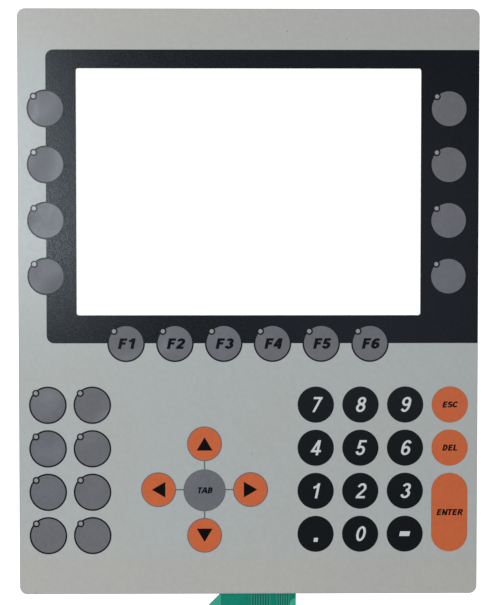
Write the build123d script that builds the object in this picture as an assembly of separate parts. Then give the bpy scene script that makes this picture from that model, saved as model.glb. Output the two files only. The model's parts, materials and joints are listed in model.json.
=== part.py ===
"""Front panel of an industrial operator terminal: a 42-key membrane keypad round a touch window.

The panel stands upright. X runs to the right as the operator sees it, +Z is up, and the operator
faces the panel from -Y. The origin is the centre of the support plate's rear face, which is the
face that rests on the terminal's housing. Depths are measured from the front of the printed
overlay towards the rear. All sizes are in millimetres.
"""
from build123d import *
import os
from collections import namedtuple

# Panel outline, display window and printed display surround
PANEL_WIDTH = 297.0
PANEL_HEIGHT = 378.3
PANEL_CORNER_RADIUS = 5.0
WINDOW_WIDTH = 222.0
WINDOW_HEIGHT = 158.7
WINDOW_CORNER_RADIUS = 1.5
WINDOW_CENTRE_Z = 71.6

# Thickness of each layer, from the front to the rear
OVERLAY_THICKNESS = 0.25
OVERLAY_ADHESIVE_THICKNESS = 0.10
SPACER_THICKNESS = 0.50
CIRCUIT_THICKNESS = 0.20
SUPPORT_ADHESIVE_THICKNESS = 0.15
PLATE_THICKNESS = 3.0

# Depth of the rear face of each layer
OVERLAY_REAR = OVERLAY_THICKNESS
OVERLAY_ADHESIVE_REAR = OVERLAY_REAR + OVERLAY_ADHESIVE_THICKNESS
SPACER_REAR = OVERLAY_ADHESIVE_REAR + SPACER_THICKNESS
CIRCUIT_REAR = SPACER_REAR + CIRCUIT_THICKNESS
LAMINATE_REAR = CIRCUIT_REAR + SUPPORT_ADHESIVE_THICKNESS
TOTAL_DEPTH = LAMINATE_REAR + PLATE_THICKNESS

# The inner layers stop short of the overlay's outline and of its window
INNER_LAYER_INSET = 0.25
INNER_WINDOW_MARGIN = 2.0

# Keys: radius over the printed outline, pitches and places
FUNCTION_KEY_RADIUS = 12.1
SYSTEM_KEY_RADIUS = 11.7
ARROW_KEY_RADIUS = 11.25
TAB_KEY_RADIUS = 13.6
LEFT_SOFTKEY_X = -130.5
RIGHT_SOFTKEY_X = 129.1
SOFTKEY_TOP_Z = 125.3
SOFTKEY_PITCH = 35.95
F_KEY_FIRST_X = -79.25
F_KEY_PITCH = 31.55
F_KEY_Z = -25.9
PROGRAM_KEY_FIRST_X = -129.9
PROGRAM_TOP_Z = -66.0
PROGRAM_COLUMN_PITCH = 28.7
PROGRAM_ROW_PITCH = 28.3
NUMBER_BLOCK_RIGHT_X = 130.5
NUMBER_TOP_Z = -65.8
NUMBER_COLUMN_PITCH = 29.0
NUMBER_ROW_PITCH = 28.1
ENTER_STRETCH = 27.8
TAB_KEY_X = -28.6
TAB_KEY_Z = -121.5
ARROW_CENTRE_Z = -121.05
ARROW_OFFSET = 29.85

# Clearances round a key, and its actuator nub on the snap dome
KEY_GAP = 0.1
INNER_KEY_GAP = 0.4
NUB_RADIUS = 2.5
NUB_CLEARANCE = 0.02

# Snap dome under each key
DOME_RADIUS = 6.1
DOME_CROWN_RADIUS = 2.8
DOME_HEIGHT = 0.45
DOME_THICKNESS = 0.08
DOME_RIM_WIDTH = 0.6

# Indicator window and light at the upper left of each function key
LED_OFFSET = 7.8
LED_TAB_RADIUS = 2.3
INNER_LED_TAB_RADIUS = 2.1
LED_WINDOW_RADIUS = 1.35
LED_POCKET_RADIUS = 1.2
LED_LENGTH = 1.6
LED_LENS_LENGTH = 1.1
LED_WIDTH = 0.8
LED_BASE_HEIGHT = 0.15
LED_HEIGHT = 0.4

# Support plate: opening for the touch sensor, cable reliefs and clinch studs
PLATE_OPENING_MARGIN = 6.0
PLATE_OPENING_RADIUS = 3.0
PLATE_CHAMFER = 0.4
TOUCH_TAIL_NOTCH_WIDTH = 18.0
TOUCH_TAIL_NOTCH_DEPTH = 7.0
TAIL_RELIEF_DEPTH = 4.0
TAIL_RELIEF_MARGIN = 6.0
RELIEF_RADIUS = 2.0
STUD_RADIUS = 2.0
STUD_LENGTH = 12.0
STUD_COLLAR_RADIUS = 2.3
STUD_HEAD_RADIUS = 3.7
STUD_HEAD_THICKNESS = 1.0
STUD_CHAMFER = 0.5
STUD_X = 136.0
CORNER_STUD_Z = 175.0
SIDE_STUD_Z = 60.0

# Resistive touch sensor, bonded behind the window inside the plate's opening
TOUCH_GLASS_MARGIN = 5.0
TOUCH_FILM_INSET = 0.5
TOUCH_SEAL_WIDTH = 3.5
TOUCH_GASKET_WIDTH = 4.0
TOUCH_GASKET_THICKNESS = 0.30
TOUCH_FILM_THICKNESS = 0.20
TOUCH_SEAL_THICKNESS = 0.10
TOUCH_GLASS_THICKNESS = 1.80
TOUCH_CORNER_RADIUS = 1.5
TOUCH_TAIL_X = 60.0
TOUCH_TAIL_WIDTH = 12.0
TOUCH_TAIL_THICKNESS = 0.20
TOUCH_TAIL_DROP = 3.6
TOUCH_TAIL_REACH = 9.0
TOUCH_TAIL_END_Z = -44.0
TOUCH_TAIL_BEND_RADIUS = 2.0

# Depths of the touch sensor's layers
TOUCH_GASKET_REAR = LAMINATE_REAR + TOUCH_GASKET_THICKNESS
TOUCH_FILM_REAR = TOUCH_GASKET_REAR + TOUCH_FILM_THICKNESS
TOUCH_SEAL_REAR = TOUCH_FILM_REAR + TOUCH_SEAL_THICKNESS
TOUCH_GLASS_REAR = TOUCH_SEAL_REAR + TOUCH_GLASS_THICKNESS

# Flat circuit tail that leaves the laminate at the panel's lower edge
TAIL_LEFT_X = -18.7
TAIL_RIGHT_X = 30.8
TAIL_SIDESTEP = 20.0
TAIL_STRAIGHT_BEFORE_STEP = 12.0
TAIL_LENGTH = 110.0
TAIL_END_LENGTH = 26.0
TAIL_END_INSET = 4.0
TAIL_CORNER_RADIUS = 3.0
STIFFENER_LENGTH = 14.0
STIFFENER_THICKNESS = 0.25
CONTACT_COUNT = 34
CONTACT_PITCH = 1.0
CONTACT_WIDTH = 0.6
CONTACT_LENGTH = 6.0
CONTACT_THICKNESS = 0.05
CONTACT_END_GAP = 0.5

PANEL_BOTTOM_Z = -PANEL_HEIGHT / 2
WINDOW_BOTTOM_Z = WINDOW_CENTRE_Z - WINDOW_HEIGHT / 2
TAIL_TOP_Z = PANEL_BOTTOM_Z + INNER_LAYER_INSET
TAIL_END_Z = PANEL_BOTTOM_Z - TAIL_LENGTH
TAIL_END_LEFT_X = TAIL_LEFT_X - TAIL_SIDESTEP + TAIL_END_INSET
TAIL_END_RIGHT_X = TAIL_RIGHT_X - TAIL_SIDESTEP - TAIL_END_INSET
TAIL_END_CENTRE_X = (TAIL_END_LEFT_X + TAIL_END_RIGHT_X) / 2

# stretch is the distance between the two end arcs of a key that is longer than it is wide
Key = namedtuple("Key", "name x z radius stretch has_light")


def function_key(name, x, z):
    """A round key with a ring and an indicator window."""
    return Key(name, x, z, FUNCTION_KEY_RADIUS, 0.0, True)


def system_key(name, x, z, radius=SYSTEM_KEY_RADIUS, stretch=0.0):
    """A key with no indicator."""
    return Key(name, x, z, radius, stretch, False)


def row_z(row):
    """Height of a row of the number block, counted from the top."""
    return NUMBER_TOP_Z - NUMBER_ROW_PITCH * row


def column_x(column):
    """Place of a column of the number block; column 0 is the outer right one."""
    return NUMBER_BLOCK_RIGHT_X - NUMBER_COLUMN_PITCH * column


def all_keys():
    """Every key of the panel."""
    keys = []
    for i in range(4):
        z = SOFTKEY_TOP_Z - SOFTKEY_PITCH * i
        keys.append(function_key(f"left_softkey_{i + 1}", LEFT_SOFTKEY_X, z))
        keys.append(function_key(f"right_softkey_{i + 1}", RIGHT_SOFTKEY_X, z))
    for i in range(6):
        keys.append(function_key(f"f{i + 1}_key", F_KEY_FIRST_X + F_KEY_PITCH * i, F_KEY_Z))
    for i in range(8):
        x = PROGRAM_KEY_FIRST_X + PROGRAM_COLUMN_PITCH * (i % 2)
        z = PROGRAM_TOP_Z - PROGRAM_ROW_PITCH * (i // 2)
        keys.append(function_key(f"program_key_{i + 1}", x, z))
    for row, names in enumerate(("789", "456", "123")):
        for place, digit in enumerate(names):
            keys.append(system_key(f"digit_{digit}_key", column_x(3 - place), row_z(row)))
    keys.append(system_key("point_key", column_x(3), row_z(3)))
    keys.append(system_key("digit_0_key", column_x(2), row_z(3)))
    keys.append(system_key("minus_key", column_x(1), row_z(3)))
    keys.append(system_key("escape_key", column_x(0), row_z(0)))
    keys.append(system_key("delete_key", column_x(0), row_z(1)))
    keys.append(system_key("enter_key", column_x(0), (row_z(2) + row_z(3)) / 2, stretch=ENTER_STRETCH))
    keys.append(system_key("tab_key", TAB_KEY_X, TAB_KEY_Z, TAB_KEY_RADIUS))
    for name, dx, dz in (("up", 0, 1), ("down", 0, -1), ("left", -1, 0), ("right", 1, 0)):
        x = TAB_KEY_X + dx * ARROW_OFFSET
        z = ARROW_CENTRE_Z + dz * ARROW_OFFSET
        keys.append(system_key(f"{name}_arrow_key", x, z, ARROW_KEY_RADIUS))
    return keys


KEYS = all_keys()
LIGHT_PLACES = [(k.x - LED_OFFSET, k.z + LED_OFFSET) for k in KEYS if k.has_light]


def layer(sketch, front_depth, rear_depth):
    """A flat solid cut to a sketch of the front view, between two depths."""
    rear_plane = Plane.XZ.offset(TOTAL_DEPTH - rear_depth)
    return extrude(rear_plane * sketch, amount=rear_depth - front_depth)


def panel_sketch(inset=0.0):
    """The panel's outline."""
    return RectangleRounded(
        PANEL_WIDTH - 2 * inset, PANEL_HEIGHT - 2 * inset, PANEL_CORNER_RADIUS - inset
    )


def window_sketch(margin, radius):
    """The display window, larger by a margin on every side."""
    width = WINDOW_WIDTH + 2 * margin
    height = WINDOW_HEIGHT + 2 * margin
    return Pos(0, WINDOW_CENTRE_Z) * RectangleRounded(width, height, radius)


def frame_sketch(outer_margin, width, radius):
    """A rectangular frame round the window, of even width."""
    inner_margin = outer_margin - width
    return window_sketch(outer_margin, radius) - window_sketch(inner_margin, radius)


def key_sketch(key, gap=0.0):
    """A key's outline, larger by a gap on every side."""
    radius = key.radius + gap
    if key.stretch:
        return Pos(key.x, key.z) * Rot(0, 0, 90) * SlotCenterToCenter(key.stretch, 2 * radius)
    return Pos(key.x, key.z) * Circle(radius)


def circles(places, radius):
    """A circle at each place."""
    return Sketch() + [Pos(x, z) * Circle(radius) for x, z in places]


def key_openings(gap, tab_radius):
    """The openings that the keys travel in, with a tab left in each for its indicator."""
    openings = Sketch() + [key_sketch(k, gap) for k in KEYS]
    return openings - circles(LIGHT_PLACES, tab_radius)


def make_key(key):
    """The film of one key with the nub that presses its dome."""
    face = key_sketch(key)
    if key.has_light:
        light = [(key.x - LED_OFFSET, key.z + LED_OFFSET)]
        face -= circles(light, LED_TAB_RADIUS + KEY_GAP)
    film = layer(face, 0, OVERLAY_REAR)
    dome_top = SPACER_REAR - DOME_HEIGHT
    nub = layer(Pos(key.x, key.z) * Circle(NUB_RADIUS), OVERLAY_REAR, dome_top - NUB_CLEARANCE)
    return film + nub


def make_graphic_overlay():
    """Printed polyester film with the window, the key openings and the indicator holes."""
    sketch = panel_sketch() - window_sketch(0, WINDOW_CORNER_RADIUS)
    sketch -= key_openings(KEY_GAP, LED_TAB_RADIUS)
    sketch -= circles(LIGHT_PLACES, LED_WINDOW_RADIUS)
    return layer(sketch, 0, OVERLAY_REAR)


def inner_sketch():
    """The outline that the inner layers share, with their window."""
    window = window_sketch(INNER_WINDOW_MARGIN, WINDOW_CORNER_RADIUS)
    return panel_sketch(INNER_LAYER_INSET) - window


def make_overlay_adhesive():
    """Adhesive that joins the overlay to the spacer."""
    sketch = inner_sketch() - key_openings(INNER_KEY_GAP, INNER_LED_TAB_RADIUS)
    sketch -= circles(LIGHT_PLACES, LED_WINDOW_RADIUS)
    return layer(sketch, OVERLAY_REAR, OVERLAY_ADHESIVE_REAR)


def make_spacer_layer():
    """Spacer that leaves room for the keys' travel, the domes and the lights."""
    sketch = inner_sketch() - key_openings(INNER_KEY_GAP, INNER_LED_TAB_RADIUS)
    sketch -= circles(LIGHT_PLACES, LED_POCKET_RADIUS)
    return layer(sketch, OVERLAY_ADHESIVE_REAR, SPACER_REAR)


def make_led_windows():
    """Clear discs that fill the indicator holes."""
    return layer(circles(LIGHT_PLACES, LED_WINDOW_RADIUS), 0, OVERLAY_REAR)


def make_snap_dome():
    """One steel dome on the Y axis, a shallow cone with a flat crown: rim at y = 0, crown towards -Y."""
    inner_height = DOME_HEIGHT - DOME_THICKNESS
    half_section = Polyline(
        (0, DOME_HEIGHT),
        (DOME_CROWN_RADIUS, DOME_HEIGHT),
        (DOME_RADIUS, 0),
        (DOME_RADIUS - DOME_RIM_WIDTH, 0),
        (DOME_CROWN_RADIUS, inner_height),
        (0, inner_height),
        close=True,
    )
    upright = revolve(Plane.XZ * make_face(half_section), Axis.Z, 360)
    return Rot(90, 0, 0) * upright


def make_snap_domes():
    """A dome behind the middle of every key."""
    dome = make_snap_dome()
    rim_y = SPACER_REAR - TOTAL_DEPTH
    return Compound([Pos(k.x, rim_y, k.z) * dome for k in KEYS])


def make_circuit_film():
    """Printed circuit film under the domes."""
    return layer(inner_sketch(), SPACER_REAR, CIRCUIT_REAR)


def make_led_chip():
    """One surface-mounted light, base at y = 0 and lens towards -Y."""
    base = Box(LED_LENGTH, LED_BASE_HEIGHT, LED_WIDTH, align=(Align.CENTER, Align.MAX, Align.CENTER))
    lens = Box(LED_LENS_LENGTH, LED_HEIGHT, LED_WIDTH, align=(Align.CENTER, Align.MAX, Align.CENTER))
    return base + lens


def make_led_chips():
    """A light behind every indicator window."""
    chip = make_led_chip()
    base_y = SPACER_REAR - TOTAL_DEPTH
    return Compound([Pos(x, base_y, z) * chip for x, z in LIGHT_PLACES])


def make_support_adhesive():
    """Adhesive that joins the circuit film to the support plate."""
    return layer(inner_sketch(), CIRCUIT_REAR, LAMINATE_REAR)


def stud_places():
    """Places of the clinch studs: corners, sides, and top and bottom centres."""
    corners = [(x, z) for x in (-STUD_X, STUD_X) for z in (-CORNER_STUD_Z, CORNER_STUD_Z)]
    sides = [(x, z) for x in (-STUD_X, STUD_X) for z in (-SIDE_STUD_Z, SIDE_STUD_Z)]
    centres = [(0, -CORNER_STUD_Z), (0, CORNER_STUD_Z)]
    return corners + sides + centres


def make_support_plate():
    """Aluminium plate with the sensor opening, two cable reliefs and the stud holes."""
    sketch = panel_sketch() - window_sketch(PLATE_OPENING_MARGIN, PLATE_OPENING_RADIUS)
    notch_height = 2 * TOUCH_TAIL_NOTCH_DEPTH
    notch = RectangleRounded(TOUCH_TAIL_NOTCH_WIDTH, notch_height, RELIEF_RADIUS)
    sketch -= Pos(TOUCH_TAIL_X, WINDOW_BOTTOM_Z - PLATE_OPENING_MARGIN) * notch
    relief_width = TAIL_RIGHT_X - TAIL_LEFT_X + 2 * TAIL_RELIEF_MARGIN
    relief = RectangleRounded(relief_width, 2 * TAIL_RELIEF_DEPTH, RELIEF_RADIUS)
    sketch -= Pos((TAIL_LEFT_X + TAIL_RIGHT_X) / 2, PANEL_BOTTOM_Z) * relief
    sketch -= circles(stud_places(), STUD_COLLAR_RADIUS)
    plate = layer(sketch, LAMINATE_REAR, TOTAL_DEPTH)
    head_pockets = circles(stud_places(), STUD_HEAD_RADIUS)
    plate -= layer(head_pockets, LAMINATE_REAR, LAMINATE_REAR + STUD_HEAD_THICKNESS)
    rear_face = plate.faces().sort_by(Axis.Y)[-1]
    return chamfer(rear_face.outer_wire().edges(), PLATE_CHAMFER)


def make_stud():
    """One clinch stud on the Y axis, with its free shank from y = 0 towards +Y."""
    head_depth = PLATE_THICKNESS - STUD_HEAD_THICKNESS
    front = Plane.XZ.offset(head_depth)
    head = extrude(front * Circle(STUD_HEAD_RADIUS), amount=STUD_HEAD_THICKNESS)
    collar = extrude(Plane.XZ * Circle(STUD_COLLAR_RADIUS), amount=head_depth)
    shank = extrude(Plane.XZ * Circle(STUD_RADIUS), amount=-STUD_LENGTH)
    tip = shank.faces().sort_by(Axis.Y)[-1]
    shank = chamfer(tip.edges(), STUD_CHAMFER)
    return head + collar + shank


def make_mounting_studs():
    """Every clinch stud."""
    stud = make_stud()
    return Compound([Pos(x, 0, z) * stud for x, z in stud_places()])


def make_touch_gasket():
    """Foam frame that bonds the touch sensor to the rear of the laminate."""
    frame = frame_sketch(TOUCH_GLASS_MARGIN, TOUCH_GASKET_WIDTH, TOUCH_CORNER_RADIUS)
    return layer(frame, LAMINATE_REAR, TOUCH_GASKET_REAR)


def make_touch_film():
    """Flexible conductive film that the finger presses."""
    margin = TOUCH_GLASS_MARGIN - TOUCH_FILM_INSET
    return layer(window_sketch(margin, TOUCH_CORNER_RADIUS), TOUCH_GASKET_REAR, TOUCH_FILM_REAR)


def make_touch_edge_seal():
    """Adhesive frame that holds the film off the glass."""
    margin = TOUCH_GLASS_MARGIN - TOUCH_FILM_INSET
    frame = frame_sketch(margin, TOUCH_SEAL_WIDTH, TOUCH_CORNER_RADIUS)
    return layer(frame, TOUCH_FILM_REAR, TOUCH_SEAL_REAR)


def make_touch_glass():
    """Conductive glass at the rear of the sensor."""
    outline = window_sketch(TOUCH_GLASS_MARGIN, TOUCH_CORNER_RADIUS)
    return layer(outline, TOUCH_SEAL_REAR, TOUCH_GLASS_REAR)


def make_touch_tail():
    """Short flat tail from the sensor's lower edge, back through the notch and down."""
    top_z = WINDOW_BOTTOM_Z - TOUCH_GLASS_MARGIN
    start_y = TOUCH_SEAL_REAR + TOUCH_TAIL_THICKNESS / 2 - TOTAL_DEPTH
    run_z = top_z - TOUCH_TAIL_DROP
    path = FilletPolyline(
        (start_y, top_z),
        (start_y, run_z),
        (TOUCH_TAIL_REACH, run_z),
        (TOUCH_TAIL_REACH, TOUCH_TAIL_END_Z),
        radius=TOUCH_TAIL_BEND_RADIUS,
    )
    side_view = Plane.YZ.offset(TOUCH_TAIL_X)
    section = side_view * trace(path, TOUCH_TAIL_THICKNESS)
    return extrude(section, amount=TOUCH_TAIL_WIDTH / 2, both=True)


def make_circuit_tail():
    """Flat tail that sidesteps to the left and narrows to its contact end."""
    step_start_z = TAIL_TOP_Z - TAIL_STRAIGHT_BEFORE_STEP
    low_left_x = TAIL_LEFT_X - TAIL_SIDESTEP
    low_right_x = TAIL_RIGHT_X - TAIL_SIDESTEP
    shoulder_z = TAIL_END_Z + TAIL_END_LENGTH
    outline = Polyline(
        (TAIL_LEFT_X, TAIL_TOP_Z),
        (TAIL_RIGHT_X, TAIL_TOP_Z),
        (TAIL_RIGHT_X, step_start_z),
        (low_right_x, step_start_z - TAIL_SIDESTEP),
        (low_right_x, shoulder_z),
        (TAIL_END_RIGHT_X, shoulder_z - TAIL_END_INSET),
        (TAIL_END_RIGHT_X, TAIL_END_Z),
        (TAIL_END_LEFT_X, TAIL_END_Z),
        (TAIL_END_LEFT_X, shoulder_z - TAIL_END_INSET),
        (low_left_x, shoulder_z),
        (low_left_x, TAIL_TOP_Z - INNER_LAYER_INSET - TAIL_SIDESTEP),
        (TAIL_LEFT_X, TAIL_TOP_Z - INNER_LAYER_INSET),
        close=True,
    )
    face = make_face(outline)
    # The two corners of the contact end and the three at the panel's edge stay sharp
    bends = face.vertices().sort_by(Axis.Y)[2:-3]
    face = fillet(bends, TAIL_CORNER_RADIUS)
    return layer(face, SPACER_REAR, CIRCUIT_REAR)


def make_tail_stiffener():
    """Stiffener behind the tail's contact end."""
    width = TAIL_END_RIGHT_X - TAIL_END_LEFT_X
    centre_z = TAIL_END_Z + STIFFENER_LENGTH / 2
    sketch = Pos(TAIL_END_CENTRE_X, centre_z) * Rectangle(width, STIFFENER_LENGTH)
    return layer(sketch, CIRCUIT_REAR, CIRCUIT_REAR + STIFFENER_THICKNESS)


def make_tail_contacts():
    """Contact fingers on the front of the tail's end."""
    first_x = TAIL_END_CENTRE_X - CONTACT_PITCH * (CONTACT_COUNT - 1) / 2
    centre_z = TAIL_END_Z + CONTACT_END_GAP + CONTACT_LENGTH / 2
    finger = Rectangle(CONTACT_WIDTH, CONTACT_LENGTH)
    places = [(first_x + CONTACT_PITCH * i, centre_z) for i in range(CONTACT_COUNT)]
    fingers = Sketch() + [Pos(x, z) * finger for x, z in places]
    return layer(fingers, SPACER_REAR - CONTACT_THICKNESS, SPACER_REAR)


PANEL_PARTS = {
    "graphic_overlay": make_graphic_overlay,
    "overlay_adhesive": make_overlay_adhesive,
    "led_windows": make_led_windows,
    "spacer_layer": make_spacer_layer,
    "snap_domes": make_snap_domes,
    "circuit_film": make_circuit_film,
    "led_chips": make_led_chips,
    "support_adhesive": make_support_adhesive,
    "support_plate": make_support_plate,
    "mounting_studs": make_mounting_studs,
    "touch_gasket": make_touch_gasket,
    "touch_film": make_touch_film,
    "touch_edge_seal": make_touch_edge_seal,
    "touch_glass": make_touch_glass,
    "touch_tail": make_touch_tail,
    "circuit_tail": make_circuit_tail,
    "tail_stiffener": make_tail_stiffener,
    "tail_contacts": make_tail_contacts,
}


def main():
    """Writes one STEP file per sub-part."""
    os.makedirs("parts", exist_ok=True)
    for name, make in PANEL_PARTS.items():
        export_step(make(), f"parts/{name}.step")
    for key in KEYS:
        export_step(make_key(key), f"parts/{key.name}.step")


main()
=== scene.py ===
"""Looks of the operator panel: printed films, key legends, snap domes, circuit tail, studs and studio.

The printed films are cut and coloured in the front view, in millimetres, as a printer would lay out
the artwork: x to the right, z up. Everything that leaves this file is in metres.
"""
import json
import math
from collections import namedtuple

import bpy
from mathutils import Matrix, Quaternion, Vector
from mathutils.geometry import delaunay_2d_cdt


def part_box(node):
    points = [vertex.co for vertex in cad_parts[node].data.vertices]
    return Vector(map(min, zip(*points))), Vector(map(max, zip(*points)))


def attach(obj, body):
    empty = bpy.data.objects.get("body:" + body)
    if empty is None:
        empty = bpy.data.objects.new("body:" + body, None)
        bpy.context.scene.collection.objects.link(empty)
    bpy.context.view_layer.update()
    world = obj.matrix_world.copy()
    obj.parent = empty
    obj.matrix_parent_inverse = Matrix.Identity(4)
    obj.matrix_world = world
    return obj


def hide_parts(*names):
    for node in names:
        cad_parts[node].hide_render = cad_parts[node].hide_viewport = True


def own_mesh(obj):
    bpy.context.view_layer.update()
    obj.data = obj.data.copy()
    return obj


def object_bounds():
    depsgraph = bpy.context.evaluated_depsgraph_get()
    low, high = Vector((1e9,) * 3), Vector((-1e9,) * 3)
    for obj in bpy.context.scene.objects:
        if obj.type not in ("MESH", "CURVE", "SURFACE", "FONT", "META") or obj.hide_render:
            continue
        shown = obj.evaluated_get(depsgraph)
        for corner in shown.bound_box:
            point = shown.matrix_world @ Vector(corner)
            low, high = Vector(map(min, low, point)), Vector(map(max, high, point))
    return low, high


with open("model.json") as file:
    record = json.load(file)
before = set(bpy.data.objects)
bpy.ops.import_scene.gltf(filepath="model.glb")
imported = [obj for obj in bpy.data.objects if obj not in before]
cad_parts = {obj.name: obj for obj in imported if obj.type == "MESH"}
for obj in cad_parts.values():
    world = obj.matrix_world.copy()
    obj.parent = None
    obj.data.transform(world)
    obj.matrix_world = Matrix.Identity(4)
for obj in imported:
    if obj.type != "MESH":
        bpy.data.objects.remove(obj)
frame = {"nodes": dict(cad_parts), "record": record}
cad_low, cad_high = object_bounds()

MM = 0.001

# Outlines. OVERHANG is how far an area of print runs past the film's edge, so that it reaches it for sure.
# MITRE_LIMIT keeps a sharp bend in a stroke short. The last two are settings of the triangulation
CIRCLE_SIDES = 64
SMALL_CIRCLE_SIDES = 32
OVERHANG = 1.0
MITRE_LIMIT = 0.5
SAME_POINT = 1e-5
INSIDE_ONLY = 1

# Artwork of the overlay
PANEL_CORNER_RADIUS = 5.0
KEY_GAP = 0.1
WINDOW_CORNER_RADIUS = 1.5
TOUCH_FILM_MARGIN = 4.5
SURROUND_TOP_MARGIN = 12.0
SURROUND_CORNER_RADIUS = 5.0
# The darker band along the film's outer edge is painted shade, where the cut edge rounds off
EDGE_SHADE_WIDTH = 0.35
LED_OFFSET = 7.8
LED_TAB_RADIUS = 2.3
LED_WINDOW_RADIUS = 1.35
LINK_LINE_WIDTH = 0.9

# Artwork of the keys. The point and the minus are bars that lean to the right, placed from the key's middle
FUNCTION_RING_WIDTH = 0.95
ARROW_RING_WIDTH = 0.6
NUB_RADIUS = 2.5
ARROW_TIP = 4.35
ARROW_BASE = 4.4
ARROW_HALF_WIDTH = 5.15
POINT_BAR = dict(left=-1.35, right=1.3, low=-5.2, high=-2.6, lean=0.35)
MINUS_BAR = dict(left=-3.6, right=2.9, low=-1.55, high=1.55, lean=0.7)

# Lettering: a sloped sans serif. stroke is the width of the upright strokes and bar that of the level ones,
# as shares of the height. width is the share of the natural width, and the middle is moved by right and up
Lettering = namedtuple("Lettering", "height stroke bar width right up")
DIGITS = Lettering(9.8, 0.172, 0.142, 0.93, 0, 0.05)
KEY_NAMES = Lettering(6.9, 0.295, 0.24, 1.03, 0.1, -0.2)
WORDS = Lettering(4.0, 0.3, 0.228, 0.96, 0, 0)
TAB_WORD = WORDS._replace(width=0.93)
SLOPE = 0.21
SLOPE_PIVOT = 0.2
ARC_STEP = math.radians(12)
OVAL_OVERLAP = 10
DIGIT_WIDTH = 0.78

# Snap domes. DOME_REACH takes in a whole dome and nothing of the next one.
DOME_REACH = 8.5
SHARP_TURN = math.radians(25)
DECIMALS = 8

# Artwork of the circuit tail. PRINT_END and the fan's start and end are heights over the tail's lower end.
# The drops are counted down from the panel's lower edge
TAIL_SIDESTEP = 20.0
TAIL_MARGIN = 1.0
PRINT_END = 13.0
PRINT_INSET = 0.6
MARGIN_STEP_DROP = 8.5
NOTCH_DROP = 3.2
NOTCH_RADIUS = 4.0
FAN_START = 36.0
FAN_END = 18.0
CONTACT_COUNT = 34
CONTACT_WIDTH = 0.6
SLANTED_FIRST_X = -16.2
SLANTED_PITCH = 0.82
SLANTED_COUNT = 20
SLANTED_WIDTH = 0.4
STRAIGHT_GROUPS = ((1.9, 1.68, 8), (18.5, 1.5, 6))
STRAIGHT_WIDTH = 0.75
STRAIGHT_BEFORE_TURN = 9.0
TURN_LAG = 0.1
MARGIN_LAG = 2.75
FLATNESS = 1e-6
OUTLINE_DECIMALS = 3

# Threaded studs. Depths are counted from the plate's rear face
STUD_RADIUS = 2.0
STUD_LENGTH = 12.0
STUD_CHAMFER = 0.5
STUD_COLLAR_RADIUS = 2.3
STUD_HEAD_RADIUS = 3.7
STUD_HEAD_FRONT = -3.0
STUD_HEAD_REAR = -2.0
STUD_SIDES = 20
THREAD_ROOT = 1.62
THREAD_PITCH = 0.7
THREAD_STEPS = 6
THREAD_RUN_OUT = 0.5

# Materials. Noise runs between its low and its high. EDGE_X and EDGE_Z are the plate's edges, counted from
# the middle of the panel. WAVE_TURN is how far the wave texture turns over one unit of its scale
NOISE_LOW, NOISE_HIGH = 0.3, 0.7
TINT_SIZE = 70.0
TINT_LOW, TINT_HIGH = 0.35, 0.65
WAVE_SIZE = 22.0
YELLOW_FROM = 155.0
YELLOW_TO = 172.0
YELLOW_SHIFT = (1, -0.8, -1.7)
SPECK_SPACING = 26.0
SPECK_RADIUS = 0.75
PATCH_SIZE = 35.0
EDGE_X = cad_high.x / MM
EDGE_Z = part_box("support_plate")[1].z / MM
EDGE_WEAR = 0.9
STRIPE_PITCH = 3.0
STRIPE_LOW, STRIPE_HIGH = 0.68, 0.74
WAVE_TURN = 20

# Studio. Places and the floor are in metres, the lens and the sensor's width in millimetres
EYE = (-0.0197, -1.1105, 0.0476)
AIM = Vector((-0.0046, 0, 0.0003))
LENS = 102.0
SENSOR_WIDTH = 36
WHITE_SEEN = 1.25
EVEN_LIGHT = 0.23
FLOOR_RADIUS = 0.34
FLOOR_GAP = 0.006
FLOOR_SIDES = 96


# ---------------------------------------------------------------- outlines in the front view

def circle(x, z, radius, sides=CIRCLE_SIDES):
    """A round outline."""
    turns = [2 * math.pi * i / sides for i in range(sides)]
    return [(x + radius * math.cos(t), z + radius * math.sin(t)) for t in turns]


def stadium(x, z, radius, stretch):
    """A circle pulled apart vertically by stretch."""
    return [(px, pz + math.copysign(stretch / 2, pz - z)) for px, pz in circle(x, z, radius)]


def rounded(left, bottom, right, top, radii, steps=8):
    """A rectangle with a radius for each corner: right top, left top, left bottom, right bottom."""
    corners = (
        (right, top, -1, -1, 0),
        (left, top, 1, -1, 90),
        (left, bottom, 1, 1, 180),
        (right, bottom, -1, 1, 270),
    )
    points = []
    for (x, z, in_x, in_z, start), radius in zip(corners, radii):
        if radius == 0:
            points.append((x, z))
            continue
        for i in range(steps + 1):
            turn = math.radians(start + 90 * i / steps)
            centre_x, centre_z = x + in_x * radius, z + in_z * radius
            points.append((centre_x + radius * math.cos(turn), centre_z + radius * math.sin(turn)))
    return points


def band(points, width):
    """The outline of a pen stroke of even width along a line of points, with square ends."""
    left, right = [], []
    for i, (x, z) in enumerate(points):
        before = Vector(points[max(i - 1, 0)])
        here = Vector((x, z))
        after = Vector(points[min(i + 1, len(points) - 1)])
        way_in = (here - before).normalized() if i > 0 else (after - here).normalized()
        way_out = (after - here).normalized() if i < len(points) - 1 else way_in
        along = (way_in + way_out).normalized()
        reach = width / 2 / max(along.dot(way_in), MITRE_LIMIT)
        left.append((x - along.y * reach, z + along.x * reach))
        right.append((x + along.y * reach, z - along.x * reach))
    return left + right[::-1]


def leaning_bar(x, z, left, right, low, high, lean):
    """A level bar whose upper edge is moved to the right by lean. Its sides are counted from (x, z)."""
    foot = [(x + left, z + low), (x + right, z + low)]
    head = [(x + right + lean, z + high), (x + left + lean, z + high)]
    return foot + head


# ---------------------------------------------------------------- lettering

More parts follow.
